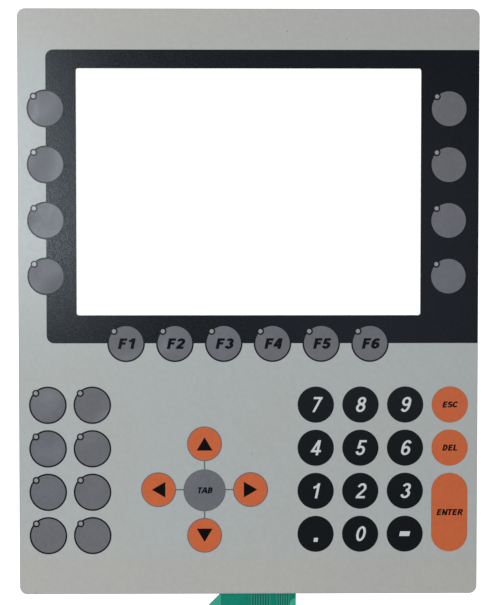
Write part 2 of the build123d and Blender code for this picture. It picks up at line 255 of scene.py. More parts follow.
def arc(x, z, radius_x, radius_z, start, end):
    """Points on an ellipse from one angle to another, in degrees."""
    start, end = math.radians(start), math.radians(end)
    steps = max(2, math.ceil(abs(end - start) / ARC_STEP))
    turns = [start + (end - start) * i / steps for i in range(steps + 1)]
    return [(x + radius_x * math.cos(t), z + radius_z * math.sin(t)) for t in turns]


def slab(x0, x1, z0, z1):
    """A square-cut bar."""
    return [(x0, z0), (x1, z0), (x1, z1), (x0, z1)]


def draw_font(stroke, bar):
    """Each glyph's width with the space round it, and its strokes, in units of the glyph's height.

    The pen's nib is an ellipse, stroke wide and bar high. low and high are the heights of its middle at
    the foot and at the head of a glyph.
    """
    top, low, high = 1 - bar, bar / 2, 1 - bar / 2
    nib = stroke / bar

    def pen(*points):
        outline = band([(x, z * nib) for x, z in points], stroke)
        return [(x, z / nib) for x, z in outline]

    def bow(x, bottom, crown, radius_x, start, end):
        return arc(x, (bottom + crown) / 2, radius_x, (crown - bottom) / 2, start, end)

    def oval(x, bottom, crown, radius_x):
        halves = [(side - OVAL_OVERLAP, side + 180 + OVAL_OVERLAP) for side in (0, 180)]
        return [pen(*bow(x, bottom, crown, radius_x, start, end)) for start, end in halves]

    def slant(x0, z0, x1, z1):
        half = stroke / 2
        return [(x0 - half, z0), (x0 + half, z0), (x1 + half, z1), (x1 - half, z1)]

    def stem(x):
        return slab(x, x + stroke, 0, 1)

    def cross(x0, x1, z):
        return slab(x0, x1, z, z + bar)

    zero = oval(0.385, low, high, 0.24)
    one = [stem(0.37), pen((0.45, 0.93), (0.35, 0.79), (0.13, 0.69))]
    two = [pen(*bow(0.4, 0.455, high, 0.235, 168, -35), (0.22, 0.17), (0.19, 0.02)), cross(0.1, 0.74, 0)]
    three = [pen(*bow(0.4, 0.545, high, 0.21, 165, -90)), pen(*bow(0.4, low, 0.525, 0.245, 95, -168))]
    four = [slant(0.13, 0.28, 0.47, 1), cross(0.03, 0.74, 0.2), stem(0.42)]
    five = [cross(0.17, 0.68, top), slant(0.19, 0.44, 0.25, 1), pen(*bow(0.36, low, 0.56, 0.24, 138, -165))]
    six = oval(0.41, low, 0.535, 0.235) + [pen(*bow(0.445, low, high, 0.27, 42, 195))]
    seven = [cross(0.08, 0.71, top), slant(0.27, 0, 0.59, 0.9)]
    eight = oval(0.38, 0.545, high, 0.205) + oval(0.38, low, 0.515, 0.24)
    upside_down_six = [[(0.8 - x, 1 - z) for x, z in part] for part in six]
    digits = [zero, one, two, three, four, five, six, seven, eight, upside_down_six]

    waist = 0.43 + low
    letter_b_bars = [cross(0.1, 0.5, 0), cross(0.1, 0.5, 0.43), cross(0.1, 0.5, top)]
    letter_b_bows = [pen(*bow(0.48, waist, high, 0.22, 90, -90)), pen(*bow(0.5, low, waist, 0.25, 90, -90))]
    letter_d_bow = pen(*bow(0.43, low, high, 0.33, 90, -90))
    letter_r_bow = pen(*bow(0.54, 0.39 + low, high, 0.25, 90, -90))
    return {
        **{str(value): (DIGIT_WIDTH, strokes) for value, strokes in enumerate(digits)},
        "A": (0.95, [slant(0.11, 0, 0.46, 1), slant(0.89, 0, 0.54, 1), cross(0.25, 0.75, 0.22)]),
        "B": (0.93, [stem(0.1), *letter_b_bars, *letter_b_bows]),
        "C": (0.93, [pen(*bow(0.5, low, high, 0.34, 38, 322))]),
        "D": (0.93, [stem(0.1), cross(0.1, 0.45, 0), cross(0.1, 0.45, top), letter_d_bow]),
        "E": (0.86, [stem(0.1), cross(0.1, 0.8, 0), cross(0.1, 0.75, 0.41), cross(0.1, 0.79, top)]),
        "F": (0.86, [stem(0.1), cross(0.1, 0.7, 0.4), cross(0.1, 0.77, top)]),
        "L": (0.8, [stem(0.1), cross(0.1, 0.77, 0)]),
        "N": (0.96, [stem(0.1), stem(0.68), slant(0.22, 1, 0.76, 0)]),
        "R": (0.95, [
            stem(0.1), cross(0.1, 0.55, 0.39), cross(0.1, 0.55, top), letter_r_bow, slant(0.83, 0, 0.56, 0.5)
        ]),
        "S": (0.86, [pen(*bow(0.46, 0.5, high, 0.25, 25, 250), *bow(0.46, low, 0.5, 0.27, 70, -160))]),
        "T": (0.82, [stem(0.43 - stroke / 2), cross(0.04, 0.82, top)]),
    }


def legend(text, x, z, lettering):
    """The strokes of a sloped legend on a key whose middle is at (x, z)."""
    font = draw_font(lettering.stroke, lettering.bar)
    height, width = lettering.height, lettering.width
    middle_x, middle_z = x + lettering.right, z + lettering.up
    strokes = []
    start = -sum(font[letter][0] for letter in text) / 2
    for letter in text:
        advance, glyph = font[letter]
        for stroke in glyph:
            sloped = [((start + px) * width + SLOPE * (pz - SLOPE_PIVOT), pz - 0.5) for px, pz in stroke]
            strokes.append([(middle_x + px * height, middle_z + pz * height) for px, pz in sloped])
        start += advance
    return strokes


# ---------------------------------------------------------------- printed films

def signed_area(loop):
    """Positive for an outline that runs anticlockwise."""
    return sum(x0 * z1 - x1 * z0 for (x0, z0), (x1, z1) in zip(loop, loop[1:] + loop[:1])) / 2


def paint_film(outline, paints):
    """Splits an outline into triangles, each with the ink of the last paint over it.

    paints is a list of (ink, loops). Ink None cuts the film away. Returns points and (triangle, ink).
    """
    loops, ink_of_loop = [outline], [-1]
    for order, (_, members) in enumerate(paints):
        loops += members
        ink_of_loop += [order] * len(members)
    points, faces = [], []
    for loop in loops:
        turned = loop if signed_area(loop) > 0 else loop[::-1]
        faces.append(list(range(len(points), len(points) + len(turned))))
        points += [Vector(p) for p in turned]
    points, _, triangles, _, _, owners = delaunay_2d_cdt(points, [], faces, INSIDE_ONLY, SAME_POINT, True)
    painted = []
    for triangle, owner in zip(triangles, owners):
        orders = [ink_of_loop[i] for i in owner]
        if -1 not in orders or max(orders) < 0:
            continue
        ink = paints[max(orders)][0]
        if ink is not None:
            painted.append((triangle, ink))
    return points, painted


class Shell:
    """Collects the faces of one piece, each with the name of its material."""

    def __init__(self):
        self.points, self.faces, self.inks = [], [], []

    def add(self, points, faces, inks):
        """Adds points in metres, and faces over them with an ink each."""
        first = len(self.points)
        self.points += points
        self.faces += [[first + i for i in face] for face in faces]
        self.inks += inks

    def add_film(self, outline, paints, front, rear, back_ink=None):
        """Adds a flat film between two depths. Its rear is back_ink, or as its front."""
        points, painted = paint_film(outline, paints)
        count = len(points)
        solid = [(x * MM, y, z * MM) for y in (front, rear) for x, z in points]
        faces, inks, edges = [], [], {}
        for (a, b, c), ink in painted:
            faces += [(a, b, c), (count + c, count + b, count + a)]
            inks += [ink, back_ink or ink]
            edges.update({(a, b): ink, (b, c): ink, (c, a): ink})
        for (a, b), ink in edges.items():
            if (b, a) not in edges:
                faces.append((a, count + a, count + b, b))
                inks.append(ink)
        self.add(solid, faces, inks)

    def make(self, name, smooth=False):
        """The finished object. Where it is smooth, edges that turn sharply stay sharp."""
        used = list(dict.fromkeys(self.inks))
        mesh = bpy.data.meshes.new(name)
        mesh.from_pydata(self.points, [], self.faces)
        for ink in used:
            mesh.materials.append(MATERIALS[ink])
        for polygon, ink in zip(mesh.polygons, self.inks):
            polygon.material_index = used.index(ink)
            polygon.use_smooth = smooth
        if smooth:
            mesh.set_sharp_from_angle(angle=SHARP_TURN)
        mesh.validate()
        piece = bpy.data.objects.new(name, mesh)
        bpy.context.scene.collection.objects.link(piece)
        return piece


# ---------------------------------------------------------------- materials

def linear(red, green, blue):
    """A colour given in screen values from 0 to 255, as Blender wants it."""
    channels = []
    for value in (red, green, blue):
        share = value / 255
        channels.append(share / 12.92 if share <= 0.04045 else ((share + 0.055) / 1.055) ** 2.4)
    return (*channels, 1.0)


def add_noise(nodes, links, source, size, detail=3.0):
    """A noise texture with features of about a size in millimetres."""
    noise = nodes.new("ShaderNodeTexNoise")
    noise.inputs["Scale"].default_value = 1 / (size * MM)
    noise.inputs["Detail"].default_value = detail
    links.new(source, noise.inputs["Vector"])
    return noise.outputs["Fac"]


def add_ramp(nodes, links, factor, low, high, low_at=NOISE_LOW, high_at=NOISE_HIGH):
    """A colour ramp between two colours, driven by a factor."""
    ramp = nodes.new("ShaderNodeValToRGB")
    first, last = ramp.color_ramp.elements
    first.position, last.position = low_at, high_at
    first.color, last.color = (*low, 1), (*high, 1)
    links.new(factor, ramp.inputs["Fac"])
    return ramp.outputs["Color"]


def multiply(nodes, links, first, second):
    """The product of two colours."""
    mix = nodes.new("ShaderNodeMix")
    mix.data_type, mix.blend_type = "RGBA", "MULTIPLY"
    mix.inputs["Factor"].default_value = 1.0
    links.new(first, mix.inputs["A"])
    links.new(second, mix.inputs["B"])
    return mix.outputs["Result"]


def grey_of(share):
    """A neutral colour."""
    return (share, share, share)


def add_range(nodes, links, factor, low, high):
    """A number that a noise drives between two values."""
    spread = nodes.new("ShaderNodeMapRange")
    spread.inputs["From Min"].default_value = NOISE_LOW
    spread.inputs["From Max"].default_value = NOISE_HIGH
    spread.inputs["To Min"].default_value = low
    spread.inputs["To Max"].default_value = high
    links.new(factor, spread.inputs["Value"])
    return spread.outputs["Result"]


def add_bump(nodes, links, height, depth):
    """A bump of a depth in millimetres."""
    bump = nodes.new("ShaderNodeBump")
    bump.inputs["Strength"].default_value = 1.0
    bump.inputs["Distance"].default_value = depth * MM
    links.new(height, bump.inputs["Height"])
    return bump


def add_distance(nodes, links, place, axis):
    """How far a point lies from the middle of the panel along an axis, in metres."""
    parts = nodes.new("ShaderNodeSeparateXYZ")
    links.new(place, parts.inputs["Vector"])
    size = nodes.new("ShaderNodeMath")
    size.operation = "ABSOLUTE"
    links.new(parts.outputs[axis], size.inputs[0])
    return size.outputs["Value"]


def add_stripes(nodes, links, place, paint, colour):
    """Upright conductors of a colour over a paint. The first ones lie half a pitch from the middle."""
    wave = nodes.new("ShaderNodeTexWave")
    wave.bands_direction = "X"
    wave.inputs["Scale"].default_value = 2 * math.pi / WAVE_TURN / (STRIPE_PITCH * MM)
    links.new(place, wave.inputs["Vector"])
    wave_height = wave.outputs["Fac"]
    cover = add_ramp(nodes, links, wave_height, grey_of(0.0), grey_of(1.0), STRIPE_LOW, STRIPE_HIGH)
    mix = nodes.new("ShaderNodeMix")
    mix.data_type = "RGBA"
    links.new(cover, mix.inputs["Factor"])
    links.new(paint, mix.inputs["A"])
    mix.inputs["B"].default_value = colour
    return mix.outputs["Result"]


def finish_of(name, colour, roughness=0.4, mottle=0.04, mottle_size=2.5, tint=0.0, specks=0.0, yellowing=0.0,
              sheen_spread=0.05, patches=0.0, grain=0.02, grain_size=0.7, wave=0.0, stretch=(1, 1, 1),
              metallic=0.0, specular=0.5, alpha=1.0, stripes=None, bright_edge=0.0):
    """A material with a mottled colour, an uneven sheen and a fine grain. Sizes are in millimetres.

    mottle is the share by which the colour varies over short distances. tint is the share by which it
    drifts between warm and cool over the whole panel. specks is the darkness of rare small marks.
    yellowing is the share by which it turns warm towards the panel's upper and lower edges. patches is
    the share by which the sheen varies over handled and unhandled areas. grain is the height of the fine
    texture, and wave that of the long waves under it. stripes is the colour of upright conductors.
    bright_edge is the share by which the panel's outer edge is lighter, where it was cut.
    """
    material = bpy.data.materials.new(name)
    material.use_nodes = True
    nodes, links = material.node_tree.nodes, material.node_tree.links
    shader = nodes["Principled BSDF"]
    shader.inputs["Metallic"].default_value = metallic
    shader.inputs["Specular IOR Level"].default_value = specular
    shader.inputs["Alpha"].default_value = alpha
    spot = nodes.new("ShaderNodeTexCoord").outputs["Object"]
    mapping = nodes.new("ShaderNodeMapping")
    mapping.inputs["Scale"].default_value = stretch
    links.new(spot, mapping.inputs["Vector"])
    place = mapping.outputs["Vector"]

    low = [c * (1 - mottle) for c in colour[:3]]
    high = [min(c * (1 + mottle), 1) for c in colour[:3]]
    paint = add_ramp(nodes, links, add_noise(nodes, links, place, mottle_size), low, high)
    if tint:
        warm, cool = (1 + tint, 1, 1 - tint), (1 - tint, 1, 1 + tint)
        drift = add_noise(nodes, links, place, TINT_SIZE, detail=1.0)
        drift = add_ramp(nodes, links, drift, warm, cool, TINT_LOW, TINT_HIGH)
        paint = multiply(nodes, links, paint, drift)
    if specks:
        cells = nodes.new("ShaderNodeTexVoronoi")
        cells.inputs["Scale"].default_value = 1 / (SPECK_SPACING * MM)
        links.new(place, cells.inputs["Vector"])
        edge = SPECK_RADIUS / SPECK_SPACING
        marks = add_ramp(
            nodes, links, cells.outputs["Distance"], grey_of(1 - specks), grey_of(1.0), edge * 0.5, edge
        )
        paint = multiply(nodes, links, paint, marks)
    if yellowing:
        clean, aged = grey_of(1.0), [1 + shift * yellowing for shift in YELLOW_SHIFT]
        height = add_distance(nodes, links, spot, "Z")
        age = add_ramp(nodes, links, height, clean, aged, YELLOW_FROM * MM, YELLOW_TO * MM)
        paint = multiply(nodes, links, paint, age)
    if bright_edge:
        for axis, edge in (("X", EDGE_X), ("Z", EDGE_Z)):
            distance = add_distance(nodes, links, spot, axis)
            start, end = (edge - EDGE_WEAR) * MM, edge * MM
            worn = add_ramp(nodes, links, distance, grey_of(1.0), grey_of(1 + bright_edge), start, end)
            paint = multiply(nodes, links, paint, worn)
    if stripes:
        paint = add_stripes(nodes, links, spot, paint, stripes)
    links.new(paint, shader.inputs["Base Color"])

    texture = add_noise(nodes, links, place, grain_size, detail=2.0)
    sheen = add_range(nodes, links, texture, roughness * (1 - sheen_spread), roughness * (1 + sheen_spread))
    if patches:
        handled = add_noise(nodes, links, spot, PATCH_SIZE, detail=4.0)
        handled = add_range(nodes, links, handled, 1 - patches, 1 + patches)
        product = nodes.new("ShaderNodeMath")
        product.operation = "MULTIPLY"
        links.new(sheen, product.inputs[0])
        links.new(handled, product.inputs[1])
        sheen = product.outputs["Value"]
    links.new(sheen, shader.inputs["Roughness"])
    normal = add_bump(nodes, links, texture, grain)
    if wave:
        swell = add_bump(nodes, links, add_noise(nodes, links, place, WAVE_SIZE, detail=0.0), wave)
        links.new(swell.outputs["Normal"], normal.inputs["Normal"])
    links.new(normal.outputs["Normal"], shader.inputs["Normal"])
    return material


def film_ink(name, **look):
    """Ink under the matt textured polyester of the overlay and the keys."""
    film = dict(roughness=0.23, specular=0.26, sheen_spread=0.12, patches=0.06, grain=0.014, grain_size=1.6)
    return finish_of(name, **{**film, **look})


FILM_INKS = {
    "panel_grey": dict(colour=linear(188, 192, 190), mottle=0.03, tint=0.008, specks=0.4, yellowing=0.034),
    # A darker grey along the outer edge: painted shade of the film's cut edge
    "painted_edge_shade": dict(colour=linear(160, 161, 156), mottle=0.18, mottle_size=2.2),
    "surround_black": dict(colour=linear(13, 18, 25), mottle=0.3, mottle_size=0.9, sheen_spread=0.3,
                           grain=0.03, grain_size=0.8),
    "key_grey": dict(colour=linear(115, 116, 121), mottle=0.05, tint=0.015, roughness=0.25,
                     grain=0.03, grain_size=0.9, wave=1.8),
    "ring_black": dict(colour=linear(17, 18, 22), mottle=0.1),
    "key_black": dict(colour=linear(11, 16, 21), mottle=0.15, tint=0.02),
    "key_orange": dict(colour=linear(215, 108, 64), mottle=0.035),
    "legend_black": dict(colour=linear(4, 4, 6), mottle=0.1, specular=0.18),
    "legend_white": dict(colour=linear(221, 224, 222), mottle=0.03),
    "line_grey": dict(colour=linear(112, 112, 117), mottle=0.05),
    "ring_grey": dict(colour=linear(132, 112, 112), mottle=0.05),
}
FINISHES = {
    "film_back": dict(colour=linear(215, 215, 210), roughness=0.5, mottle=0.02),
    "indicator": dict(colour=linear(158, 156, 156), roughness=0.22, mottle=0.05, grain=0.004),
    "adhesive": dict(colour=linear(214, 212, 200), roughness=0.35, mottle=0.03),
    "spacer": dict(colour=linear(214, 217, 216), roughness=0.45, mottle=0.02),
    "dome_steel": dict(colour=linear(196, 196, 194), roughness=0.25, mottle=0.03, metallic=1.0),
    "circuit_film": dict(colour=linear(62, 174, 148), roughness=0.3, mottle=0.05, specular=0.3),
    "circuit_print": dict(colour=linear(2, 134, 110), roughness=0.35, mottle=0.05, specular=0.2),
    "circuit_gap": dict(colour=linear(2, 106, 88), roughness=0.35, mottle=0.05, specular=0.2),
    "circuit_trace": dict(colour=linear(48, 150, 126), roughness=0.35, mottle=0.06, specular=0.2),
    "faint_trace": dict(colour=linear(14, 142, 117), roughness=0.35, mottle=0.05, specular=0.2),
    "light_body": dict(colour=linear(236, 232, 214), roughness=0.3, mottle=0.03),
    "plate": dict(colour=linear(192, 194, 197), roughness=0.4, mottle=0.12, mottle_size=1.2, tint=0.01,
                  sheen_spread=0.18, patches=0.1, grain=0.012, grain_size=0.35, stretch=(0.02, 1, 1),
                  metallic=1.0, bright_edge=0.25),
    "stud_steel": dict(colour=linear(190, 186, 172), roughness=0.3, mottle=0.12, mottle_size=1.5,
                       sheen_spread=0.2, metallic=1.0),
    "gasket": dict(colour=linear(30, 30, 32), roughness=0.85, mottle=0.15, mottle_size=0.8, grain=0.08),
    "touch_film": dict(colour=linear(232, 240, 240), roughness=0.12, mottle=0.01, grain=0.001, alpha=0.06),
    "touch_glass": dict(colour=linear(214, 234, 228), roughness=0.05, mottle=0.01, grain=0.001, alpha=0.08),
    "amber": dict(colour=linear(158, 88, 26), roughness=0.28, mottle=0.06, patches=0.1,
                  stripes=linear(184, 124, 58)),
    "stiffener": dict(colour=linear(206, 209, 206), roughness=0.5, mottle=0.05, patches=0.1),
    "carbon": dict(colour=linear(34, 34, 36), roughness=0.6, mottle=0.15, mottle_size=0.6),
    "floor_pale": dict(colour=linear(236, 236, 234), roughness=0.7, mottle=0.01, mottle_size=60),
}
MATERIALS = {name: film_ink(name, **look) for name, look in FILM_INKS.items()}
MATERIALS.update({name: finish_of(name, **look) for name, look in FINISHES.items()})


def give(node, ink):
    """Gives a CAD node its material."""
    slots = frame["nodes"][node].data.materials
    slots.clear()
    slots.append(MATERIALS[ink])


CAD_FINISHES = {
    "overlay_adhesive": "adhesive", "led_windows": "indicator", "spacer_layer": "spacer",
    "circuit_film": "circuit_print", "led_chips": "light_body", "support_adhesive": "adhesive",
    "support_plate": "plate", "touch_gasket": "gasket", "touch_film": "touch_film",
    "touch_edge_seal": "adhesive", "touch_glass": "touch_glass", "touch_tail": "amber",
    "tail_stiffener": "stiffener", "tail_contacts": "carbon",
}
for node, ink in CAD_FINISHES.items():
    give(node, ink)


# ---------------------------------------------------------------- places taken from the frame

Place = namedtuple("Place", "left bottom right top front rear")


def place_of(node):
    """The sides of a node in millimetres, and its front and rear in metres."""
    low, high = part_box(node)
    return Place(low.x / MM, low.z / MM, high.x / MM, high.z / MM, low.y, high.y)


def key_centre(node):
    """The middle of a key, in millimetres."""
    key = place_of(node)
    return (key.left + key.right) / 2, (key.bottom + key.top) / 2


def key_shape(node, gap=0.0):
    """A key's outline, larger by a gap. ENTER is taller than it is wide, and the others are round."""
    key = place_of(node)
    x, z = key_centre(node)
    radius = (key.right - key.left) / 2
    stretch = key.top - key.bottom - 2 * radius
    if stretch > KEY_GAP:
        return stadium(x, z, radius + gap, stretch)
    return circle(x, z, radius + gap)


def light_place(node):
    """The indicator's place on a function key."""
    x, z = key_centre(node)
    return x - LED_OFFSET, z + LED_OFFSET


FUNCTION_KEYS = [f"{side}_softkey_{i}" for side in ("left", "right") for i in range(1, 5)]
FUNCTION_KEYS += [f"f{i}_key" for i in range(1, 7)]
FUNCTION_KEYS += [f"program_key_{i}" for i in range(1, 9)]
DIGIT_KEYS = [f"digit_{digit}_key" for digit in range(10)]
BLACK_KEYS = DIGIT_KEYS + ["point_key", "minus_key"]
ORANGE_KEYS = ["escape_key", "delete_key", "enter_key"]
ARROW_DIRECTIONS = {"up": (0, 1), "down": (0, -1), "left": (-1, 0), "right": (1, 0)}
ARROW_KEYS = [f"{name}_arrow_key" for name in ARROW_DIRECTIONS]
ALL_KEYS = FUNCTION_KEYS + BLACK_KEYS + ORANGE_KEYS + ARROW_KEYS + ["tab_key"]

OVERLAY = place_of("graphic_overlay")


# ---------------------------------------------------------------- the overlay

def display_window():
    """Left, bottom, right and top of the window, from the touch film that lies behind it."""
    film = place_of("touch_film")
    margin = TOUCH_FILM_MARGIN
    return film.left + margin, film.bottom + margin, film.right - margin, film.top - margin


def display_surround():
    """The black field: from the left keys' middles to the right edge, and down to the F keys' middles."""
    left, _ = key_centre("left_softkey_1")
    _, bottom = key_centre("f1_key")
    _, _, _, window_top = display_window()
    radius = SURROUND_CORNER_RADIUS
    return rounded(left, bottom, OVERLAY.right, window_top + SURROUND_TOP_MARGIN, [0, radius, radius, 0])


def link_lines():
    """The thin lines that join the four arrow keys behind the TAB key."""
    pairs = (("left", "right"), ("up", "down"))
    return [band([key_centre(f"{name}_arrow_key") for name in pair], LINK_LINE_WIDTH) for pair in pairs]


def build_overlay():
    """The printed film with its openings, and a band of painted shade along its outer edge."""
    left, bottom, right, top, front, rear = OVERLAY
    radius, line = PANEL_CORNER_RADIUS, EDGE_SHADE_WIDTH
    outline = rounded(left, bottom, right, top, [radius] * 4)
    inside = rounded(left + line, bottom + line, right - line, top - line, [radius - line] * 4)
    lights = [light_place(node) for node in FUNCTION_KEYS]
    paints = [
        # The outer edge band is painted darker: painted shade of the film's cut edge
        ("painted_edge_shade", [outline]),
        ("panel_grey", [inside]),
        ("surround_black", [display_surround()]),
        (None, [rounded(*display_window(), [WINDOW_CORNER_RADIUS] * 4)]),
        ("line_grey", link_lines()),
        (None, [key_shape(node, KEY_GAP) for node in ALL_KEYS]),
        ("ring_black", [circle(x, z, LED_TAB_RADIUS, SMALL_CIRCLE_SIDES) for x, z in lights]),
        (None, [circle(x, z, LED_WINDOW_RADIUS, SMALL_CIRCLE_SIDES) for x, z in lights]),
    ]
    shell = Shell()
    shell.add_film(outline, paints, front, rear, "film_back")
    piece = shell.make("overlay_film")
    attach(piece, "panel")
    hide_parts("graphic_overlay")


# ---------------------------------------------------------------- the keys

def inner_circle(node, inset):
    """A round key's outline, smaller by an inset."""
    key = place_of(node)
    x, z = key_centre(node)
    return circle(x, z, (key.right - key.left) / 2 - inset)


def arrow_head(node, dx, dz):
    """The black triangle on an arrow key."""
    x, z = key_centre(node)
    tip = (x + dx * ARROW_TIP, z + dz * ARROW_TIP)
    base_x, base_z = x - dx * ARROW_BASE, z - dz * ARROW_BASE
    half_x, half_z = -dz * ARROW_HALF_WIDTH, dx * ARROW_HALF_WIDTH
    return [tip, (base_x + half_x, base_z + half_z), (base_x - half_x, base_z - half_z)]


def build_key(node, paints):
    """One key: its printed film, and under it the nub that presses the dome."""
    x, z = key_centre(node)
    shell = Shell()
    shell.add_film(key_shape(node), paints, OVERLAY.front, OVERLAY.rear, "film_back")
    nub = circle(x, z, NUB_RADIUS, SMALL_CIRCLE_SIDES)
    shell.add_film(nub, [("spacer", [nub])], OVERLAY.rear, place_of(node).rear)
    piece = shell.make(f"{node}_film")
    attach(piece, f"{node}_press")
    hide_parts(node)


def build_function_keys():
    """Grey keys with a black ring, cut away round the indicator. F1 to F6 have a legend."""
    for node in FUNCTION_KEYS:
        x, z = key_centre(node)
        light_x, light_z = light_place(node)
        paints = [("ring_black", [key_shape(node)]), ("key_grey", [inner_circle(node, FUNCTION_RING_WIDTH)])]
        if node.startswith("f"):
            paints.append(("legend_black", legend(node[:2].upper(), x, z, KEY_NAMES)))
        paints.append((None, [circle(light_x, light_z, LED_TAB_RADIUS + KEY_GAP, SMALL_CIRCLE_SIDES)]))
        build_key(node, paints)


def build_black_keys():
    """Digits, point and minus, in white on black."""
    for node in BLACK_KEYS:
        x, z = key_centre(node)
        if node == "point_key":
            marks = [leaning_bar(x, z, **POINT_BAR)]
        elif node == "minus_key":
            marks = [leaning_bar(x, z, **MINUS_BAR)]
        else:
            marks = legend(node.split("_")[1], x, z, DIGITS)
        build_key(node, [("key_black", [key_shape(node)]), ("legend_white", marks)])


def build_orange_keys():
    """ESC, DEL and ENTER, and the four arrows with their thin grey ring."""
    for node, text in zip(ORANGE_KEYS, ("ESC", "DEL", "ENTER")):
        x, z = key_centre(node)
        paints = [("key_orange", [key_shape(node)]), ("legend_black", legend(text, x, z, WORDS))]
        build_key(node, paints)
    for node, (dx, dz) in zip(ARROW_KEYS, ARROW_DIRECTIONS.values()):
        ring = ("ring_grey", [key_shape(node)])
        disc = ("key_orange", [inner_circle(node, ARROW_RING_WIDTH)])
        build_key(node, [ring, disc, ("legend_black", [arrow_head(node, dx, dz)])])


def build_tab_key():
    """The grey key between the arrows."""
    x, z = key_centre("tab_key")
    paints = [("key_grey", [key_shape("tab_key")]), ("legend_black", legend("TAB", x, z, TAB_WORD))]
    build_key("tab_key", paints)


# ---------------------------------------------------------------- the snap domes

def cad_faces_near(node, x, z, reach):
    """The corners and faces of a CAD mesh within reach of a place. Corners at the same spot are joined."""
    mesh = frame["nodes"][node].data
    corners, faces = {}, []
    for polygon in mesh.polygons:
        if math.hypot(polygon.center.x / MM - x, polygon.center.z / MM - z) < reach:
            spots = [tuple(round(c, DECIMALS) for c in mesh.vertices[i].co) for i in polygon.vertices]
            faces.append([corners.setdefault(spot, len(corners)) for spot in spots])
    return list(corners), faces


def build_domes():
    """One snap dome under each key."""
    for node in ALL_KEYS:
        x, z = key_centre(node)
        corners, faces = cad_faces_near("snap_domes", x, z, DOME_REACH)
        shell = Shell()
        shell.add(corners, faces, ["dome_steel"] * len(faces))
        piece = shell.make(f"{node}_dome", smooth=True)
        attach(piece, "panel")
        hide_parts("snap_domes")
        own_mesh(piece)


# ---------------------------------------------------------------- the circuit tail

def front_outline(node):
    """The outline of a flat node, read from the front face of its CAD mesh, in millimetres."""
    mesh = frame["nodes"][node].data
    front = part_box(node)[0].y + FLATNESS
    edges = set()
    for polygon in mesh.polygons:
        corners = [mesh.vertices[i].co for i in polygon.vertices]
        if max(corner.y for corner in corners) < front:
            spots = [(corner.x / MM, corner.z / MM) for corner in corners]
            points = [(round(x, OUTLINE_DECIMALS), round(z, OUTLINE_DECIMALS)) for x, z in spots]
            edges.update(zip(points, points[1:] + points[:1]))
    follow = {here: after for here, after in edges if (after, here) not in edges}
    outline = [min(follow)]
    while follow[outline[-1]] != outline[0]:
        outline.append(follow[outline[-1]])
    return outline


def tail_line(start_x, end_x, turn_z):
    """A conductor's way down the tail: out, 45 degrees to the left, down, and in to its contact."""
    tail = place_of("circuit_tail")
    middle_x = start_x - TAIL_SIDESTEP
    return [
        (start_x, tail.top),
        (start_x, turn_z),
        (middle_x, turn_z - TAIL_SIDESTEP),
        (middle_x, tail.bottom + FAN_START),
        (end_x, tail.bottom + FAN_END),
        (end_x, tail.bottom),
    ]


def contact_x(i):
    """The place of a contact, counted from the left."""
    row = place_of("tail_contacts")
    pitch = (row.right - row.left - CONTACT_WIDTH) / (CONTACT_COUNT - 1)
    return row.left + CONTACT_WIDTH / 2 + pitch * i


def tail_conductors():
    """The faint lines on the left, which turn at the panel's edge, and the plain ones on the right."""
    exit_z = OVERLAY.bottom
    slanted = []
    for i in range(SLANTED_COUNT):
        slanted.append(tail_line(SLANTED_FIRST_X + SLANTED_PITCH * i, contact_x(i), exit_z))
    starts = [first + pitch * i for first, pitch, count in STRAIGHT_GROUPS for i in range(count)]
    straight = []
    for i, x in enumerate(starts):
        turn_z = exit_z - STRAIGHT_BEFORE_TURN - TURN_LAG * (x - starts[0])
        straight.append(tail_line(x, contact_x(SLANTED_COUNT + i), turn_z))
    return slanted, straight


def left_margin(tail, exit_z, end_z):
    """The bare film left of the print, which steps to the left with the tail."""
    outside = tail.left - OVERHANG
    upper_x = tail.left + TAIL_SIDESTEP + PRINT_INSET
    lower_x = tail.left + TAIL_MARGIN
    step_z = exit_z - MARGIN_STEP_DROP
    return [
        (outside, exit_z),
        (upper_x, exit_z),
        (upper_x, step_z),
        (lower_x, step_z - (upper_x - lower_x)),
        (lower_x, end_z),
        (outside, end_z),
    ]


def right_margin(tail, exit_z, end_z):
    """The bare film right of the print, from a rounded notch down."""
    outside = tail.right + OVERHANG
    notch_z = exit_z - NOTCH_DROP - NOTCH_RADIUS
    upper_x = tail.right - NOTCH_RADIUS
    lower_x = tail.right - TAIL_SIDESTEP - TAIL_MARGIN
    step_z = exit_z - STRAIGHT_BEFORE_TURN - MARGIN_LAG
    notch = arc(tail.right, notch_z, NOTCH_RADIUS, NOTCH_RADIUS, 90, 180)
    return notch + [
        (upper_x, step_z),
        (lower_x, step_z - (upper_x - lower_x)),
        (lower_x, end_z),
        (outside, end_z),
        (outside, notch_z + NOTCH_RADIUS),
    ]


def build_circuit_tail():
    """The flat tail: dark green print over a light green film, with its conductors showing through."""
    outline = front_outline("circuit_tail")
    tail = place_of("circuit_tail")
    exit_z, end_z = OVERLAY.bottom, tail.bottom + PRINT_END
    print_area = slab(tail.left - OVERHANG, tail.right + OVERHANG, end_z, tail.top + OVERHANG)
    slanted, straight = tail_conductors()
    groups, first = [], 0
    for _, _, count in STRAIGHT_GROUPS:
        groups.append(straight[first] + straight[first + count - 1][::-1])
        first += count
    paints = [
        ("circuit_film", [outline]),
        ("circuit_print", [print_area]),
        ("circuit_gap", groups),
        ("faint_trace", [band(line, SLANTED_WIDTH) for line in slanted]),
        ("circuit_trace", [band(line, STRAIGHT_WIDTH) for line in straight]),
        ("circuit_film", [left_margin(tail, exit_z, end_z), right_margin(tail, exit_z, end_z)]),
    ]
    shell = Shell()
    shell.add_film(outline, paints, tail.front, tail.rear)
    piece = shell.make("circuit_tail_print")
    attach(piece, "panel")
    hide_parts("circuit_tail")


# ---------------------------------------------------------------- the threaded studs

